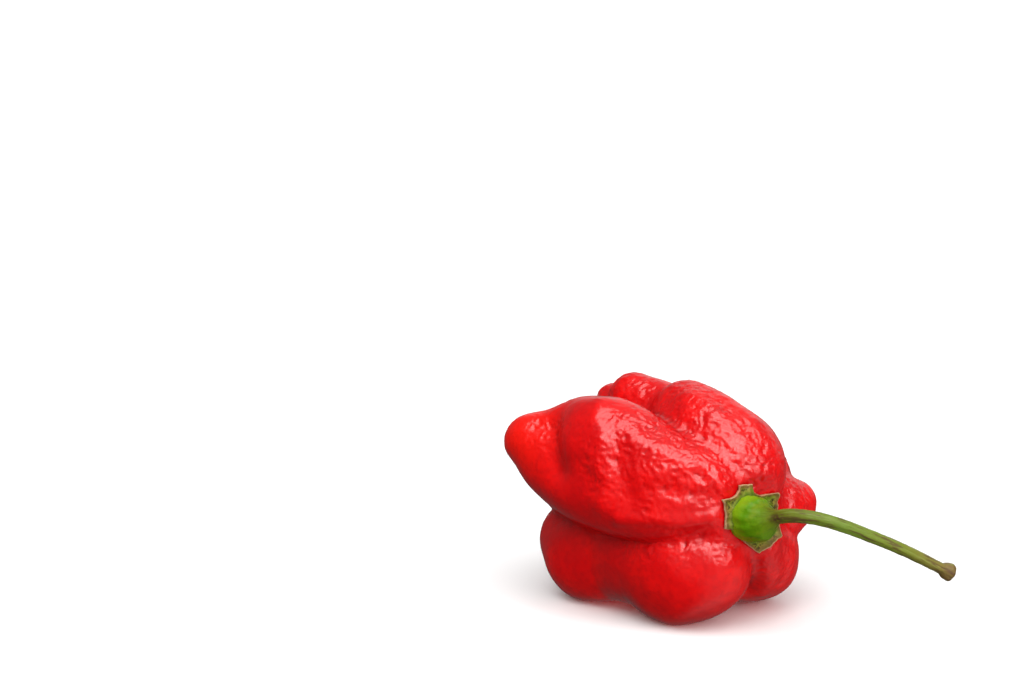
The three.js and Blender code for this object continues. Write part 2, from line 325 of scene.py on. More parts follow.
# %% [markdown]
# The star of leaf lies on a seat, a round place where the skin is nearly flat. The seat has a
# middle and a direction that it faces, and the distance turns from "how far from the lobes"
# to "how far above the seat" as a point comes near it. To save time, a lobe is only asked
# about the points that are close to it.

# %% Distance to the skin
CREASE_FILL = 0.42
BROAD_FILL = 1.4
ONE_SWELLING = ("front, upper ridge", "front, lower ridge to the nose")
SEAT_MIDDLE = np.array([2.5, -14.6, 19.5])
SEAT_FACING = np.array([0.575, -0.815, 0.06])
SEAT_FACING = SEAT_FACING / np.linalg.norm(SEAT_FACING)
SEAT_RADIUS = 4.2
SEAT_BLEND = 4
SEAT_DEPTH = 5
NEAR = 3
BROAD_NEAR = 9
FAR = 50


def smoothstep(value, low, high):
    share = np.clip((value - low) / (high - low), 0, 1)
    return share * share * (3 - 2 * share)


def skin_gap(points):
    gaps = np.full((len(rows), len(points)), float(FAR))
    slopes = np.zeros((len(rows), len(points), 3))
    for i, (name, row) in enumerate(zip(LOBES, rows)):
        margin = BROAD_NEAR if name in ONE_SWELLING else NEAR
        low = (row[:, :3] - row[:, 3:]).min(0) - margin
        high = (row[:, :3] + row[:, 3:]).max(0) + margin
        close = ((points > low) & (points < high)).all(1)
        gaps[i, close], slopes[i, close] = nearest_on(row, points[close])
    one = [name in ONE_SWELLING for name in LOBES]
    swelling = blended(gaps[one], slopes[one], BROAD_FILL)
    apart = np.logical_not(one)
    gaps = np.vstack([gaps[apart], swelling[0][None]])
    slopes = np.concatenate([slopes[apart], swelling[1][None]])
    gap, slope = blended(gaps, slopes, CREASE_FILL)
    from_seat = points - SEAT_MIDDLE
    above = from_seat @ SEAT_FACING
    across = np.linalg.norm(from_seat - above[:, None] * SEAT_FACING, axis=1)
    flat = (1 - smoothstep(across, SEAT_RADIUS, SEAT_RADIUS + SEAT_BLEND)) * (above > -SEAT_DEPTH)
    gap = gap * (1 - flat) + above * flat
    slope = slope * (1 - flat)[:, None] + flat[:, None] * SEAT_FACING
    return gap, slope, across


print("gap at the seat:", skin_gap(SEAT_MIDDLE[None, :] + 0.01)[0].round(3))

# %% [markdown]
# ## An even net of small faces
#
# The crinkles of the skin are about a millimetre across, so the net that carries them needs
# corners about a quarter of a millimetre apart, spread evenly. Remesh by voxels gives an even
# net of squares over a copy of the measured fruit, and one subdivision makes them finer. A
# ball from the menu would be quicker to make, but its squares crowd together at its poles and
# stretch over the lobes.

# %% Net over the fruit
VOXEL = 0.5


def finer_copy(source):
    copy = bpy.data.objects.new("net", source.data.copy())
    bpy.context.scene.collection.objects.link(copy)
    weld = copy.modifiers.new("weld", "WELD")
    weld.merge_threshold = 0.001 * MM
    remesh = copy.modifiers.new("remesh", "REMESH")
    remesh.mode = "VOXEL"
    remesh.voxel_size = VOXEL * MM
    finer = copy.modifiers.new("finer", "SUBSURF")
    finer.levels = 1
    graph = bpy.context.evaluated_depsgraph_get()
    mesh = bpy.data.meshes.new_from_object(copy.evaluated_get(graph))
    bpy.data.objects.remove(copy)
    return mesh


def corners_of(mesh):
    flat = np.zeros(len(mesh.vertices) * 3)
    mesh.vertices.foreach_get("co", flat)
    return flat.reshape(-1, 3)


skin_mesh = finer_copy(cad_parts["fruit"])
skin_mesh.materials.clear()
net = corners_of(skin_mesh) / MM
print("net:", len(net), "corners")

# %% [markdown]
# Each corner of the net is now walked onto the skin: it asks for its distance, and steps that
# far along the slope. Four walks bring every corner there to a few thousandths of a millimetre,
# which a shrinkwrap modifier couldn't do, since there is no mesh to shrink onto. Softening
# comes next: every corner moves to the average of its neighbours, a few times over, which
# rounds the creases that are sharper than those of a real skin.

# %% Walk the net onto the skin
WALKS = 4
REST_FLAT = 0.4
SOFTENING = 6

all_balls = np.vstack(rows)
lobes_low = (all_balls[:, :3] - all_balls[:, 3:]).min(0)
lobes_high = (all_balls[:, :3] + all_balls[:, 3:]).max(0)
scale = (np.array(fruit_high) - np.array(fruit_low)) / MM / (lobes_high - lobes_low - [0, 0, REST_FLAT])
skin_points = (net - np.array(fruit_high) / MM) / scale + lobes_high
for walk in range(WALKS):
    gap, slope, across = skin_gap(skin_points)
    steep = (slope**2).sum(1)
    skin_points = skin_points - slope * (gap / steep)[:, None]
    print("walk", walk + 1, "starts up to", round(float(np.abs(gap).max()), 3), "mm from the skin")
outward = slope / np.sqrt(steep)[:, None]
edges = np.zeros(len(skin_mesh.edges) * 2, int)
skin_mesh.edges.foreach_get("vertices", edges)
first, second = edges.reshape(-1, 2).T
ends = np.concatenate([first, second])
others = np.concatenate([second, first])
meeting = np.bincount(ends)[:, None]


def averaged(points, rounds):
    for _ in range(rounds):
        points = np.column_stack([np.bincount(ends, points[others, i]) for i in range(3)]) / meeting
    return points


skin_points = averaged(skin_points, SOFTENING)
print("softened", SOFTENING, "times, along", len(first), "edges")

# %% [markdown]
# ## Folds and crinkles
#
# The big lobes are there, and now come the smaller things that a hand would feel. Folds are
# lines drawn over the skin, each with a height and a width, and a dent is a fold of negative
# height. They are moved in the net itself and not only drawn by a bump map, so that the edge
# of the fruit against the light is uneven too.

# %% Folds
FOLDS = [  # height, width, then the corners of the line, mm
    (-1.2, 2.3, [(-29.6, -3.4, 32.4), (-29.2, -6, 29.5), (-28.3, -8.3, 26)]),
    (0.55, 1.7, [(-21.3, -6.2, 36.9), (-22.4, -10, 34.6), (-21, -12.6, 31.5), (-22, -13.4, 28),
                 (-20.6, -13.9, 25.4), (-21.6, -14.2, 21.5)]),
    (-0.5, 1.7, [(-18.3, -13.5, 32.3), (-18.3, -14.8, 27.6), (-17, -15.8, 23.7)]),
    (0.5, 1.8, [(-16.7, -13.7, 32.3), (-11.4, -15.3, 30.7), (-5.8, -16.8, 28.4), (-2.2, -17.2, 25.6)]),
    (-0.45, 1.3, [(-14, -16.1, 24.6), (-9, -17.6, 24.5), (-3.4, -17.8, 23.9)]),
    (0.7, 1.2, [(-18.4, -14.9, 19.6), (-12.2, -17.4, 20.1), (-8, -17.5, 19.8), (-3.8, -17.6, 20.4)]),
    (-0.7, 1.1, [(-5.8, -17.3, 27.6), (-5.2, -17.3, 27)]),
    (-0.4, 1.2, [(-11, -17.2, 25.4), (-10, -17.2, 25.6)]),
    (0.8, 5.5, [(-18.6, -7, 12), (-18.6, -6.4, 5)]),
    (-0.3, 1.6, [(3.1, -14, 12.2), (4.3, -10.5, 8.6), (3.1, -7.3, 5)]),
    (0.3, 1.4, [(6.2, -12.4, 11.7), (7.5, -9.6, 7.8), (6.1, -6.1, 3.6)]),
    (-0.35, 1.2, [(8.8, -10.5, 13.2), (10, -8.8, 9.6), (8.9, -7.8, 6.2)]),
    (0.35, 2, [(-6.7, -3.6, 37.5), (-3, -9.2, 34.9), (0.9, -13.1, 30.5)]),
    (-0.35, 2, [(-1, -4.9, 36.9), (3.1, -9.9, 33.1), (5.5, -12.8, 28.4)]),
    (-0.3, 1.8, [(-10.2, -0.4, 36.7), (-8.6, -8.7, 33.6), (-4.8, -13.1, 31.2)]),
]


def to_line(points, corners):
    line = np.array(corners, float)
    row = np.column_stack([line, np.zeros(len(line))])
    return nearest_on(row, points)[0]


relief = np.zeros(len(skin_points))
for rise, width, corners in FOLDS:
    relief += rise * np.exp(-((to_line(skin_points, corners) / width) ** 2))
print("folds from", round(relief.min(), 2), "to", round(relief.max(), 2), "mm")

# %% [markdown]
# Crinkles are the net of fine raised wrinkles between small pits that these very hot kinds
# have. They are strong on the upper side and around the shoulder, and nearly absent on the
# full, tight lobes below. A soft mask says where they are: soft spots on the side that faces
# us, listed one by one, and clouds over the upper back. Painting the mask with a brush would do
# as well, and the spots are the brush strokes, written down.

# %% Where the skin is crinkled
CRINKLED = [  # a place and how far it reaches, mm, and how strong it is
    ((-17, -13, 32), 7, 1), ((-9, -16, 29), 6, 1), ((-4, -17.2, 25), 5, 0.9), ((-13, -11, 33.5), 5, 1),
    ((-29.5, -5, 31), 4, 0.9), ((-31.5, -1.5, 32.5), 3, 0.9), ((-21.5, -13, 29), 3.4, 1),
    ((-21, -14, 24.5), 4, 0.7), ((-13, -17, 21.5), 3, 0.7), ((-3, -9, 35), 7, 1), ((1, -12, 31), 7, 1),
    ((5.5, -12, 27), 5, 0.9), ((-7, -1, 37), 5, 0.9), ((-16, 9, 36), 6, 0.3), ((2.5, -14.2, 25.5), 3, 0.8),
    ((-13, -14, 14.5), 2.8, 0.9), ((-8, -16.5, 14.8), 2.8, 1), ((-17, -11.5, 14.5), 2.5, 0.8),
    ((-2, -17, 15), 3, 1), ((11, -3, 20), 5, 0.9), ((6, -12, 11), 4.5, 0.5), ((10, -8, 10), 4, 0.5),
]
CRINKLED_EVERYWHERE = 0.11
CRINKLED_BEHIND = 0.6
CLOUD = 9
SPOT_FADE = 1.2


def noise_at(points, size, shift=0.0):
    return np.array([noise.noise(Vector(point)) for point in (points + shift) / size])


patchy = noise_at(skin_points, CLOUD, 40.0)
upward = smoothstep(outward[:, 2], -0.3, 0.7)
at_the_back = smoothstep(skin_points[:, 1], -6, 4)
clouds = at_the_back * upward * smoothstep(patchy, -0.3, 0.4)
crinkled = CRINKLED_EVERYWHERE + clouds * CRINKLED_BEHIND
for place, reach, strength in CRINKLED:
    away = np.linalg.norm(skin_points - np.array(place), axis=1)
    crinkled = crinkled + (1 - crinkled) * strength * np.exp(-((away / reach) ** 2) * SPOT_FADE)
crinkled = crinkled * smoothstep(skin_points[:, 2], 0.8, 3)
print("crinkled share of the skin:", round(float((crinkled > 0.5).mean()), 2))

# %% [markdown]
# The relief is built from the broad to the fine: swellings and lumps everywhere, and then two
# nets of wrinkles where the mask allows them. A noise passes from above zero to below it
# along winding lines, so a height that falls with the size of the noise, either way, has a
# net of ridges on those lines. The noise is bent by another noise first, so that the net is
# not too even. Under the star of leaf the relief fades, so that the star has an even seat.

# %% Crinkles
SWELLING = 8
SWELLING_HEIGHT = 0.4
LUMP = 4.5
LUMP_HEIGHT = 0.2
SMALL_LUMP_HEIGHT = 0.1
WRINKLE = 1.35
WRINKLE_HEIGHT = 0.25
FINE_WRINKLE = 0.7
FINE_WRINKLE_HEIGHT = 0.14
RIDGE_TOP = 0.28
RIDGE_ROUNDING = 0.004
RIDGE_STEEPNESS = 1.6
RELIEF_STARTS = SEAT_RADIUS - 3.3
RELIEF_FULL = SEAT_RADIUS - 0.8


def net_of_ridges(points, size, shift):
    bend = np.column_stack([noise_at(points, 2.1 * size, shift + i) for i in (3, 7, 11)])
    valley = noise_at(points + 0.5 * size * bend, size, shift)
    return RIDGE_TOP - np.sqrt(valley**2 + RIDGE_ROUNDING) * RIDGE_STEEPNESS


relief += SWELLING_HEIGHT * noise_at(skin_points, SWELLING, 3.0)
small_lumps = SMALL_LUMP_HEIGHT * crinkled * noise_at(skin_points, LUMP / 2, 17.0)
relief += LUMP_HEIGHT * noise_at(skin_points, LUMP) + small_lumps
relief += WRINKLE_HEIGHT * crinkled * net_of_ridges(skin_points, WRINKLE, 0.0)
relief += FINE_WRINKLE_HEIGHT * crinkled * net_of_ridges(skin_points, FINE_WRINKLE, 60.0)
relief *= smoothstep(across, RELIEF_STARTS, RELIEF_FULL)
skin_points = skin_points + outward * relief[:, None]
print("relief from", round(relief.min(), 2), "to", round(relief.max(), 2), "mm")

# %% [markdown]
# ## Into the measured box
#
# The rows of balls have their own middle. The finished skin is scaled by a hair to the width,
# depth and height of the measured fruit, lowered a little into the table, and cut off flat
# there, because a soft fruit that rests on a table has small flats under its lobes. The seat
# of the star of leaf moves with it, and its three directions are kept for the green parts.

# %% Settle the skin on the table
found_low = skin_points.min(0)
found_high = skin_points.max(0)
box_low = np.array(fruit_low) / MM
box_high = np.array(fruit_high) / MM
growth = (box_high - box_low + [0, 0, REST_FLAT]) / (found_high - found_low)


def settled(points):
    return (points - found_high) * growth + box_high


skin_points = settled(skin_points)
skin_points[:, 2] = np.maximum(skin_points[:, 2], 0)
seat = settled(SEAT_MIDDLE)
seat_out = SEAT_FACING / growth
seat_out = seat_out / np.linalg.norm(seat_out)
seat_up = np.array([0, 0, 1]) - seat_out[2] * seat_out
seat_up = seat_up / np.linalg.norm(seat_up)
seat_right = np.cross(seat_up, seat_out)


def on_seat(right, up, out):
    across, upward, off = [np.asarray(value, float)[..., None] for value in (right, up, out)]
    return seat + seat_right * across + seat_up * upward + seat_out * off


print("growth", growth.round(4), "seat at", seat.round(2), "mm")

# %% [markdown]
# ## The skin as a piece
#
# The finish needs to know where the furrows, the crinkles and the nose are, so they are
# painted on the corners as numbers. A furrow is found by softening the skin once more: where
# the softened skin lies outside the real one, there was a hollow. A helper then makes the
# object, and says which body it rides on and which measured node it stands for.

# %% Paint the skin and make the piece
NOSE = np.array([-33, 3, 28.5])
NOSE_REACH = 6.5
FURROW_SOFTENING = 14


def paint(mesh, name, values):
    layer = mesh.attributes.new(name, "FLOAT", "POINT")
    layer.data.foreach_set("value", np.asarray(values, np.float32))


def smooth_shaded(mesh):
    mesh.polygons.foreach_set("use_smooth", [True] * len(mesh.polygons))
    mesh.update()


def make_piece(name, mesh, stands_for):
    smooth_shaded(mesh)
    piece = bpy.data.objects.new(name, mesh)
    bpy.context.scene.collection.objects.link(piece)
    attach(piece, "root")
    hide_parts(stands_for)


softened = averaged(skin_points, FURROW_SOFTENING)
hollow = ((softened - skin_points) * outward).sum(1)
skin_mesh.vertices.foreach_set("co", (skin_points * MM).ravel())
# painted shade: the furrow mask says where the red is darkened, as if shade lay in the hollows
paint(skin_mesh, "furrow", smoothstep(hollow, 0.02, 0.3))
paint(skin_mesh, "crinkled", crinkled)
from_nose = np.linalg.norm(skin_points - settled(NOSE), axis=1)
paint(skin_mesh, "nose", np.exp(-((from_nose / NOSE_REACH) ** 2)))
make_piece("Skin", skin_mesh, "fruit")
print("skin:", len(skin_mesh.polygons), "faces")

# %% [markdown]
# ## The finish of the skin
#
# Ripe skin is a clear deep red. Its red isn't even: cloudy patches and small flecks keep it
# alive, and on the nose it leans to orange. The furrows are darkened with painted shade. A
# picture wrapped round the pod would need a seam, while noise in three dimensions has none.
# The helpers read a painted number, make a noise whose spots have a size in millimetres, mix
# two colours, and tint a colour by a share.


# %% Red of the skin
def painted(tree, name):
    return node(tree, "ShaderNodeAttribute", {"attribute_name": name}).outputs["Fac"]


def mottle(tree, place, size, detail=2.0, roughness=0.5):
    inputs = {"Vector": place, "Scale": 1 / (size * MM), "Detail": detail, "Roughness": roughness}
    return node(tree, "ShaderNodeTexNoise", None, inputs).outputs[0]


def mix_colours(tree, share, first, second):
    inputs = {0: share, 6: first, 7: second}
    return node(tree, "ShaderNodeMix", {"data_type": "RGBA"}, inputs).outputs[2]


def tinted(tree, colour, share, strength, tint):
    return mix_colours(tree, times(tree, share, strength), colour, tint)


DEEP_RED = (0.58, 0.002, 0.003, 1)
CLEAR_RED = (0.72, 0.003, 0.003, 1)
FLECK_RED = (0.45, 0.002, 0.004, 1)
FURROW_SHADE = (0.2, 0.001, 0.002, 1)
NOSE_RED = (0.85, 0.009, 0.002, 1)

ripe, tree, shader, place = finish_of("Ripe red skin")
clouds = eased(tree, mottle(tree, place, 7, 3), 0.35, 0.68)
flecks = eased(tree, mottle(tree, place, 1.1, 2), 0.4, 0.7)
red = mix_colours(tree, clouds, DEEP_RED, CLEAR_RED)
red = tinted(tree, red, flecks, 0.4, FLECK_RED)
# painted shade: the red is darkened in the furrows, where shade falls
red = tinted(tree, red, painted(tree, "furrow"), 0.75, FURROW_SHADE)
red = mix_colours(tree, painted(tree, "nose"), red, NOSE_RED)
tree.links.new(red, shader.inputs["Base Color"])
print("colour nodes:", len(tree.nodes))

# %% [markdown]
# Red light goes a little way into the flesh and comes out again, which keeps the shadows
# warm, so some subsurface is used. A thin wax gives a sharp, weak second shine over the
# softer shine of the skin, which is a coat in Blender's terms. A very fine bump stands for
# the wrinkles that are too small for the net, and it is strongest where the skin is crinkled.

# %% Shine and fine grain of the skin
ROUGHNESS = {"To Min": 0.22, "To Max": 0.26}
dull = node(tree, "ShaderNodeMapRange", None, {"Value": painted(tree, "crinkled"), **ROUGHNESS})
tree.links.new(dull.outputs[0], shader.inputs["Roughness"])
shader.inputs["Subsurface Weight"].default_value = 0.15
shader.inputs["Subsurface Radius"].default_value = (1, 0.12, 0.06)
shader.inputs["Subsurface Scale"].default_value = 1.2 * MM
shader.inputs["Specular IOR Level"].default_value = 0.2
shader.inputs["Coat Weight"].default_value = 0.04
shader.inputs["Coat Roughness"].default_value = 0.12


def add_bump(tree, shader, height, distance):
    inputs = {"Height": height, "Strength": 0.6, "Distance": distance * MM}
    bump = node(tree, "ShaderNodeBump", None, inputs)
    tree.links.new(bump.outputs[0], shader.inputs["Normal"])


fine = sums(tree, "SUBTRACT", mottle(tree, place, 0.5, 3, 0.6), 0.5)
pits = times(tree, fine, sums(tree, "ADD", painted(tree, "crinkled"), 0.2))
add_bump(tree, shader, pits, 0.07)
skin_mesh.materials.append(ripe)
print("finish:", ripe.name)

# %% [markdown]
# ## The star of leaf
#
# The calyx is what is left of the flower: a thin leathery star, thick where the stem leaves
# it, with teeth that dry to olive and brown. A flat star could be shrunk onto the fruit with a
# modifier, but its corners would slide and its teeth lose their shape. So a round grid is laid
# inside its outline, and dropped on the skin by casting a ray down at each corner, which is
# how the star comes to lie in every small hollow.

# %% Star of leaf: outline and seat
OUTLINE = [  # mm to the right of the middle, mm up from it
    [0.6, 5.5], [-2.1, 5.7], [-2.1, 4.8], [-2.7, 4.1], [-4, 3.8], [-5.7, 3.8], [-5.4, 3],
    [-5.1, 1.5], [-5.1, 0], [-5.2, -1.1], [-2.3, -1.8], [-1.8, -2.2], [-1.7, -3.6],
    [-0.3, -4.6], [1, -5.6], [1.9, -6.3], [4, -5.3], [5.3, -4.3], [6.4, -4],
    [6.2, -2.2], [6.1, 0.7], [6.1, 2], [6.5, 2.6], [5.9, 3.3], [2.3, 3.3], [0.8, 4.1],
]
OUTLINE_STEP = 0.02
LEAF_COLUMNS = 360
LEAF_RINGS = 30
LEAF_HOLE = 1.5
PROBE = 6

skin_tree = BVHTree.FromPolygons(skin_points.tolist(), [list(face.vertices) for face in skin_mesh.polygons])


def skin_height(right, up):
    start = on_seat(right, up, PROBE)
    down = Vector(-seat_out)
    heights = []
    for point in start:
        hit = skin_tree.ray_cast(Vector(point), down)
        heights.append(PROBE - hit[3] if hit[0] else 0.0)
    return np.array(heights)


turns = np.arange(LEAF_COLUMNS) * 360 / LEAF_COLUMNS
outline = np.array([*OUTLINE, OUTLINE[0]])
along_edge = np.arange(0, len(OUTLINE), OUTLINE_STEP)
edge = np.column_stack([np.interp(along_edge, np.arange(len(outline)), outline[:, i]) for i in (0, 1)])
reach = np.interp(turns, np.degrees(np.arctan2(edge[:, 1], edge[:, 0])), np.hypot(*edge.T), period=360)
around = np.column_stack([np.cos(np.radians(turns)), np.sin(np.radians(turns)), np.zeros(len(turns))])
reach = reach + 0.08 * noise_at(around * 6, 0.5) + 0.1 * noise_at(around * 6, 1.4)
ring = np.linspace(0, 1, LEAF_RINGS) ** 0.8
radius = LEAF_HOLE + np.outer(ring, reach - LEAF_HOLE)
leaf_right = radius * around[:, 0]
leaf_up = radius * around[:, 1]
leaf_base = skin_height(leaf_right.ravel(), leaf_up.ravel()).reshape(radius.shape)
print("star of leaf reaches", reach.min().round(1), "to", reach.max().round(1), "mm")

# %% [markdown]
# The star now gets its thickness, which thins towards the rim, its veins, which run out from
# the middle as low rounded ridges, and a crumple like that of any drying leaf. Long teeth lift
# off the skin a little more than short ones.

# %% Star of leaf: thickness, veins and lifted teeth
VEINS = [10, 26, 92, 112, 149, 170, 186, 268, 286, 306, 326, 345]  # degrees round the middle
VEIN_WIDTH = 0.35
VEIN_HEIGHT = 0.14
LEAF_THICKNESS = 0.9
RIM_THICKNESS = 0.3
TOOTH_LIFT = 0.4

to_vein = np.abs((turns[:, None] - np.array(VEINS)[None, :] + 180) % 360 - 180).min(1)
vein = np.exp(-((np.radians(to_vein)[None, :] * radius / VEIN_WIDTH) ** 2)) * smoothstep(radius, 2, 4)
rim = ring[:, None] * np.ones(LEAF_COLUMNS)[None, :]
long_tooth = smoothstep(reach, 4.5, 7)[None, :] * smoothstep(rim, 0.6, 1)
grid = on_seat(leaf_right, leaf_up, np.zeros(radius.shape)).reshape(-1, 3)
crumple = (noise_at(grid, 0.8) * 0.14 + noise_at(grid, 1.9, 9.0) * 0.2).reshape(radius.shape)
lift = 0.05 + TOOTH_LIFT * long_tooth + 0.12 * smoothstep(rim, 0.8, 1)
thickness = LEAF_THICKNESS + (RIM_THICKNESS - LEAF_THICKNESS) * smoothstep(radius, 3.6, 6)
thickness = thickness * (1 - 0.35 * smoothstep(rim, 0.93, 1))
top = leaf_base + lift + thickness + VEIN_HEIGHT * vein + crumple * smoothstep(radius, 3, 4.5)
under = leaf_base + lift + 0.06 * crumple
print("thickest", (top - under).max().round(2), "mm, thinnest", (top - under).min().round(2), "mm")

# %% [markdown]
# Two grids of corners, one above and one below, become a closed body when faces join them
# along the outer rim and round the hole in the middle, where the stem will stand. The three
# numbers painted on it say how near the rim, how near a vein and how far out a corner is.


# %% Star of leaf: faces and piece
def faces_of_leaf(ring_count, columns):
    faces = []
    below = ring_count * columns
    last = (ring_count - 1) * columns
    for r in range(ring_count - 1):
        for c in range(columns):
            n = (c + 1) % columns
            a, b = r * columns + c, r * columns + n
            d, e = a + columns, b + columns
            faces.append((a, d, e, b))
            faces.append((below + a, below + b, below + e, below + d))
    for c in range(columns):
        n = (c + 1) % columns
        faces.append((last + c, below + last + c, below + last + n, last + n))
        faces.append((c, n, below + n, below + c))
    return faces


leaf_points = np.vstack([on_seat(leaf_right, leaf_up, height).reshape(-1, 3) for height in (top, under)])
leaf_mesh = bpy.data.meshes.new("Leaf star")
leaf_mesh.from_pydata((leaf_points * MM).tolist(), [], faces_of_leaf(LEAF_RINGS, LEAF_COLUMNS))
paint(leaf_mesh, "rim", np.tile(rim.ravel(), 2))
paint(leaf_mesh, "vein", np.tile(vein.ravel(), 2))
paint(leaf_mesh, "out", np.tile(radius.ravel(), 2))
make_piece("Leaf_star", leaf_mesh, "calyx")
print("leaf star:", len(leaf_mesh.polygons), "faces")

# %% [markdown]
# ## The finish of the star
#
# The star is green close to the stem, olive and then brown on the teeth, with a thin rim the
# colour of straw, and painted shade darkens the crease round the dome. Since the number of how
# far out a corner is was painted on it, each colour can be given its own ring. It is a dry
# leaf, so it hardly shines.

# %% Drying leaf
leaf, tree, shader, place = finish_of("Drying leaf")
far_out = painted(tree, "out")
near_rim = painted(tree, "rim")
blotch = eased(tree, mottle(tree, place, 1.6, 3, 0.6), 0.38, 0.62)
green = mix_colours(tree, blotch, (0.1, 0.13, 0.004, 1), (0.27, 0.19, 0.035, 1))
fresh = eased(tree, far_out, 5.4, 3.6)
green = mix_colours(tree, fresh, green, (0.11, 0.2, 0.004, 1))
green = tinted(tree, green, painted(tree, "vein"), 0.5, (0.2, 0.22, 0.03, 1))
specks = eased(tree, mottle(tree, place, 0.6, 3, 0.6), 0.5, 0.6)
dry = eased(tree, far_out, 3.8, 5)
green = tinted(tree, green, specks, times(tree, dry, 0.95), (0.035, 0.026, 0.005, 1))
# painted shade: a dark ring in the crease round the dome
crease_shade = eased(tree, far_out, 4.5, 3.9)
green = tinted(tree, green, crease_shade, 0.6, (0.04, 0.06, 0.003, 1))
brown_rim = eased(tree, near_rim, 0.78, 0.93)
green = tinted(tree, green, brown_rim, 0.7, (0.16, 0.08, 0.02, 1))
straw_rim = eased(tree, near_rim, 0.95, 0.985)
green = mix_colours(tree, straw_rim, green, (0.42, 0.25, 0.13, 1))
tree.links.new(green, shader.inputs["Base Color"])
shader.inputs["Roughness"].default_value = 0.55
shader.inputs["Specular IOR Level"].default_value = 0.06
add_bump(tree, shader, mottle(tree, place, 0.3, 3, 0.6), 0.08)
leaf_mesh.materials.append(leaf)
print("finish:", leaf.name)

# %% [markdown]
# ## The stem
#
# The stem swells to a plump green dome where it meets the star, bends over at once, and runs
# out to the scar where it was picked, which is a small head like a nail's. A curve with a bevel
# would make a stem in one step, but its section would be a plain circle. Here a ring of
# corners is carried along the bent line instead, so that the section can change on the way.
# First comes the line: the same smooth curve as in the lobes, brought to its length.

# %% Stem line
STEM_LENGTH = 38
FOOT = 1.5
FOOT_TO_LEFT = 0.4
STRAIGHT_START = 2.5
LINE_STEPS = 40
BENDS = [  # mm from the foot, across, back and up
    [4.1, -4.8, 1.7], [6.5, -6.4, 2.3], [10, -7.2, 2.1], [14.1, -7, 0.9], [19.4, -6.2, -1.3],
    [25.3, -5, -4.1], [33.4, -3.2, -8.6],
]
stem_foot = on_seat(-FOOT_TO_LEFT, 0, FOOT)
bends = smooth_line(np.array([[0, 0, 0], seat_out * STRAIGHT_START, *BENDS]), LINE_STEPS)
run = np.concatenate([[0], np.cumsum(np.linalg.norm(np.diff(bends, axis=0), axis=1))])
bends = bends * STEM_LENGTH / run[-1]
run = run * STEM_LENGTH / run[-1]
print("stem", round(run[-1], 1), "mm from", stem_foot.round(1))

# %% [markdown]
# The radius is asked at every step along the line, so dome, shaft and head are one skin with
# no joint. The steps are close together on the dome and the head, where the radius changes
# fast, and the first ones are sunk into the star so that no gap can open.

# %% Stem thickness along the line
THICKNESS = 2.4
END_THICKNESS = 1.8
DOME = 7.5
DOME_LENGTH = 6.4
HEAD = 3
HEAD_LENGTH = 1.9
SUNK = 1.2
FINE_UNTIL = 7
FINE_AGAIN = STEM_LENGTH - 3

dome_steps = np.arange(-SUNK, FINE_UNTIL, 0.12)
shaft_steps = np.arange(FINE_UNTIL, FINE_AGAIN, 0.3)
head_steps = np.linspace(FINE_AGAIN, STEM_LENGTH, 30)
steps = np.concatenate([dome_steps, shaft_steps, head_steps])


def stem_radius(along):
    shaft = (THICKNESS + (END_THICKNESS - THICKNESS) * np.clip(along / STEM_LENGTH, 0, 1)) / 2
    full = np.clip(along / DOME_LENGTH, 0, 1)
    swelling = (1 - full**2.2) ** 1.75
    head_share = np.clip((STEM_LENGTH - along) / HEAD_LENGTH, 0, 1)
    head = np.sin(np.pi * (0.27 + 0.73 * head_share)).clip(0) ** 0.8
    return shaft + (DOME / 2 - shaft) * swelling + (HEAD / 2 - shaft) * head, swelling, head


radii, swelling, head = stem_radius(steps)
print("stem radius from", radii.min().round(2), "to", radii.max().round(2), "mm")

# %% [markdown]
# Each ring needs two directions across the line. If they were worked out anew at every step,
# the rings could spin and twist the skin, so the first direction is handed on from ring to
# ring and only straightened against the line. The section isn't a plain circle: low ribs
# wander along the shaft, and small puckers pleat the foot of the dome.

# %% Stem rings
SIDES = 64
RIB_HEIGHT = 0.06
PUCKER_HEIGHT = 0.03

on_line = np.column_stack([np.interp(steps, run, bends[:, i]) for i in range(3)])
middles = stem_foot + on_line + np.minimum(steps, 0)[:, None] * seat_out
tangents = np.gradient(middles, steps, axis=0)
tangents = tangents / np.linalg.norm(tangents, axis=1)[:, None]
side = np.zeros_like(middles)
side[0] = seat_right
for i in range(1, len(side)):
    turned = side[i - 1] - (side[i - 1] @ tangents[i]) * tangents[i]
    side[i] = turned / np.linalg.norm(turned)
over = np.cross(tangents, side)
angle = np.arange(SIDES) * 2 * np.pi / SIDES
wander = 0.4 * np.sin(steps / 7)[:, None] + steps[:, None] * 0.02
ribs = np.cos(5 * angle[None, :] + 5 * wander) * 0.5 + np.cos(8 * angle[None, :] - 3 * wander) * 0.3
shaft_share = (1 - swelling) * (1 - head)
pleated = smoothstep(steps, -0.5, 0.8) * (1 - smoothstep(steps, 2, 4.5))
puckers = np.cos(13 * angle[None, :] + 2 * wander) * pleated[:, None]
out_by = radii[:, None] * (1 + RIB_HEIGHT * ribs * shaft_share[:, None] + PUCKER_HEIGHT * puckers)
ring_points = (
    middles[:, None, :]
    + side[:, None, :] * (out_by * np.cos(angle))[..., None]
    + over[:, None, :] * (out_by * np.sin(angle))[..., None]
)
print("stem rings:", len(steps), "of", SIDES, "corners")

# %% [markdown]
# On top of the ribs, noise makes the dome and the head a little lumpy, as grown things are.
# It moves each corner straight away from the line.

# %% Uneven skin of the stem
flat_ring = ring_points.reshape(-1, 3)
uneven = 0.35 * noise_at(flat_ring, 2.2) * np.repeat(swelling, SIDES) + 0.05 * noise_at(flat_ring, 0.7, 5.0)
uneven = uneven + 0.16 * noise_at(flat_ring, 0.9, 8.0) * np.repeat(head, SIDES)
away = flat_ring - np.repeat(middles, SIDES, axis=0)
away = away / np.linalg.norm(away, axis=1)[:, None]
flat_ring = flat_ring + away * uneven[:, None]
print("uneven by up to", np.abs(uneven).max().round(2), "mm")

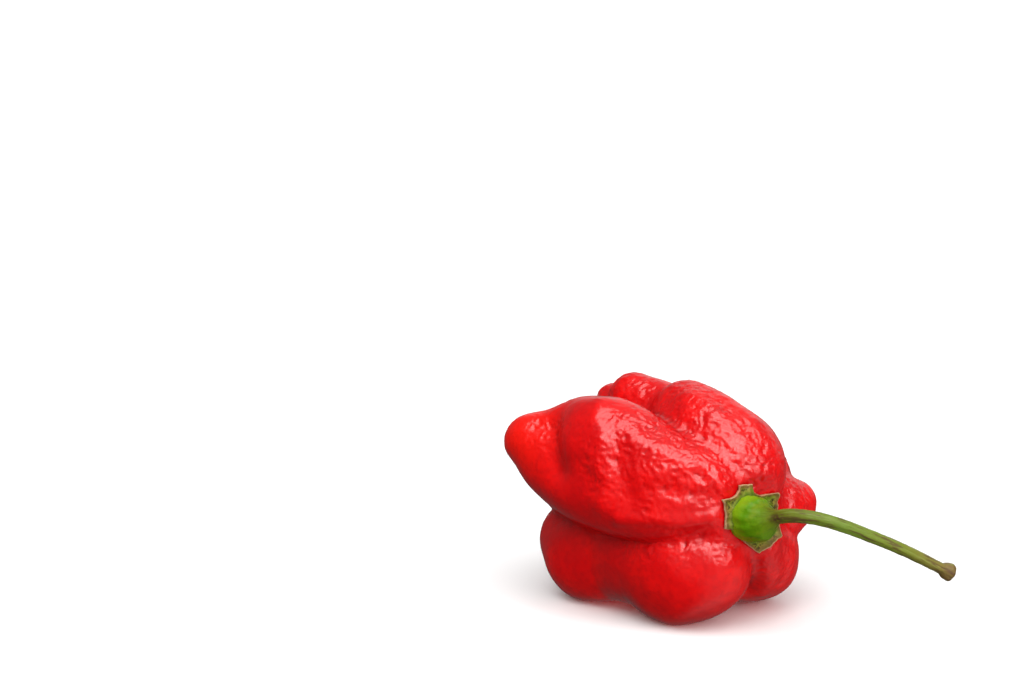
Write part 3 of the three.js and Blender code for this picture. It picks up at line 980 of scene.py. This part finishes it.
# %% [markdown]
# The end of the stem is a scar: rings that shrink towards the middle, first over a low rim
# and then into a shallow dish. Faces join ring to ring, and one face closes each end.

# %% Stem end and piece
SCAR_RINGS = [0.93, 0.82, 0.65, 0.4, 0.15]
SCAR_RISE = [0.12, 0.1, -0.04, -0.1, -0.02]
last_ring = flat_ring[-SIDES:]
scar = [
    middles[-1] + (last_ring - middles[-1]) * share + tangents[-1] * rise
    for share, rise in zip(SCAR_RINGS, SCAR_RISE)
]
stem_points = np.vstack([flat_ring, *scar])
ring_count = len(steps) + len(SCAR_RINGS)
stem_faces = []
for r in range(ring_count - 1):
    for c in range(SIDES):
        n = (c + 1) % SIDES
        stem_faces.append((r * SIDES + c, r * SIDES + n, (r + 1) * SIDES + n, (r + 1) * SIDES + c))
stem_faces.append(tuple(range(SIDES))[::-1])
stem_faces.append(tuple((ring_count - 1) * SIDES + c for c in range(SIDES)))
stem_mesh = bpy.data.meshes.new("Stem")
stem_mesh.from_pydata((stem_points * MM).tolist(), [], stem_faces)
along = np.concatenate([steps, np.full(len(SCAR_RINGS), STEM_LENGTH)])
scarred = np.concatenate([np.zeros(len(steps)), 1 - np.array(SCAR_RINGS) * 0.9])
paint(stem_mesh, "along", np.repeat(along, SIDES))
paint(stem_mesh, "scar", np.repeat(scarred, SIDES))
paint(stem_mesh, "turn_right", np.tile(np.cos(angle), ring_count))
paint(stem_mesh, "turn_up", np.tile(np.sin(angle), ring_count))
make_piece("Stem", stem_mesh, "stem")
print("stem:", len(stem_mesh.polygons), "faces")

# %% [markdown]
# ## The finish of the stem
#
# The stem is pale where it meets the star, bright leaf green on the dome, olive along the
# shaft, and brown at the head. These colours follow the length, which was painted on the
# corners, so a colour ramp is the plainest way to lay them.

# %% Green stem: colours along its length
STEM_COLOURS = [  # share of the length, colour
    (0.0, (0.2, 0.33, 0.006)), (0.05, (0.08, 0.205, 0.001)), (0.11, (0.1, 0.19, 0.003)),
    (0.17, (0.115, 0.12, 0.008)), (0.45, (0.13, 0.2, 0.02)), (0.75, (0.155, 0.18, 0.018)),
    (0.93, (0.19, 0.15, 0.03)), (0.965, (0.16, 0.1, 0.03)),
]
green_stem, tree, shader, place = finish_of("Green stem")
along_stem = painted(tree, "along")
share = sums(tree, "DIVIDE", along_stem, STEM_LENGTH)
ramp = node(tree, "ShaderNodeValToRGB", None, {"Fac": share})
for i, (at, colour) in enumerate(STEM_COLOURS):
    stop = ramp.color_ramp.elements[i] if i < 2 else ramp.color_ramp.elements.new(at)
    stop.position = at
    stop.color = (*colour, 1)
base = ramp.outputs[0]
print("stem colours:", len(STEM_COLOURS))

# %% [markdown]
# Streaks follow the length too. A noise becomes streaks when it is stretched, so it is asked
# at a place that turns with the ring, but creeps along the stem: near neighbours along the
# stem get nearly the same answer, and neighbours around it do not.


# %% Green stem: streaks
def round_the_stem(tree, creep):
    places = {0: painted(tree, "turn_right"), 1: painted(tree, "turn_up"), 2: times(tree, along_stem, creep)}
    return node(tree, "ShaderNodeCombineXYZ", None, places).outputs[0]


stretched = round_the_stem(tree, 0.12)


def streaks(tree, fineness, low, high):
    inputs = {"Vector": stretched, "Scale": fineness, "Detail": 3.0, "Roughness": 0.6}
    return eased(tree, node(tree, "ShaderNodeTexNoise", None, inputs).outputs[0], low, high)


on_shaft = eased(tree, share, 0.14, 0.2)
pale = times(tree, streaks(tree, 2.6, 0.48, 0.68), 0.35)
base = tinted(tree, base, pale, on_shaft, (0.22, 0.28, 0.06, 1))
brown = times(tree, streaks(tree, 2.1, 0.52, 0.62), on_shaft)
base = tinted(tree, base, brown, 0.75, (0.09, 0.045, 0.02, 1))
on_dome = times(tree, eased(tree, along_stem, 2.2, 5), eased(tree, along_stem, 8, 6))
dark_lines = times(tree, streaks(tree, 3.4, 0.5, 0.66), on_dome)
print("colour nodes so far:", len(tree.nodes))

# %% [markdown]
# The dome has a brown bruise on the side that faces us, dark lines where it narrows into the
# shaft, and lemon patches near its foot. The bruise is a soft ball, measured in the same
# stretched places as the streaks, with a noise that frays its edge. The scar is a dry straw
# colour.

# %% Green stem: bruise, dark lines, lemon patches and scar
BRUISE = (-0.9, -0.1, 3.05)
to_bruise = {0: round_the_stem(tree, 0.45), 1: BRUISE}
from_bruise = node(tree, "ShaderNodeVectorMath", {"operation": "DISTANCE"}, to_bruise).outputs["Value"]
frayed = eased(tree, mottle(tree, place, 0.6, 2), 0.3, 0.55)
bruise = times(tree, eased(tree, from_bruise, 0.85, 0.2), frayed)
base = tinted(tree, base, bruise, 0.85, (0.065, 0.025, 0.015, 1))
base = tinted(tree, base, dark_lines, 0.55, (0.05, 0.06, 0.004, 1))
lemon = times(tree, eased(tree, mottle(tree, place, 2.4, 2), 0.48, 0.62), eased(tree, share, 0.16, 0.08))
base = tinted(tree, base, lemon, 0.35, (0.2, 0.24, 0.006, 1))
base = mix_colours(tree, eased(tree, painted(tree, "scar"), 0.2, 0.5), base, (0.4, 0.33, 0.22, 1))
tree.links.new(base, shader.inputs["Base Color"])
print("colour nodes:", len(tree.nodes))

# %% [markdown]
# A fresh stem has a faint satin shine, lets a little green light through, and has fine
# grooves along it, which the same streaks give when they are used as a height.

# %% Green stem: shine and grooves
shader.inputs["Roughness"].default_value = 0.4
shader.inputs["Specular IOR Level"].default_value = 0.06
shader.inputs["Subsurface Weight"].default_value = 0.1
shader.inputs["Subsurface Radius"].default_value = (0.4, 1, 0.15)
shader.inputs["Subsurface Scale"].default_value = 0.5 * MM
grooves = sums(tree, "ADD", streaks(tree, 4.5, 0.2, 0.8), mottle(tree, place, 0.4, 3, 0.6))
add_bump(tree, shader, grooves, 0.08)
stem_mesh.materials.append(green_stem)
print("finish:", green_stem.name)
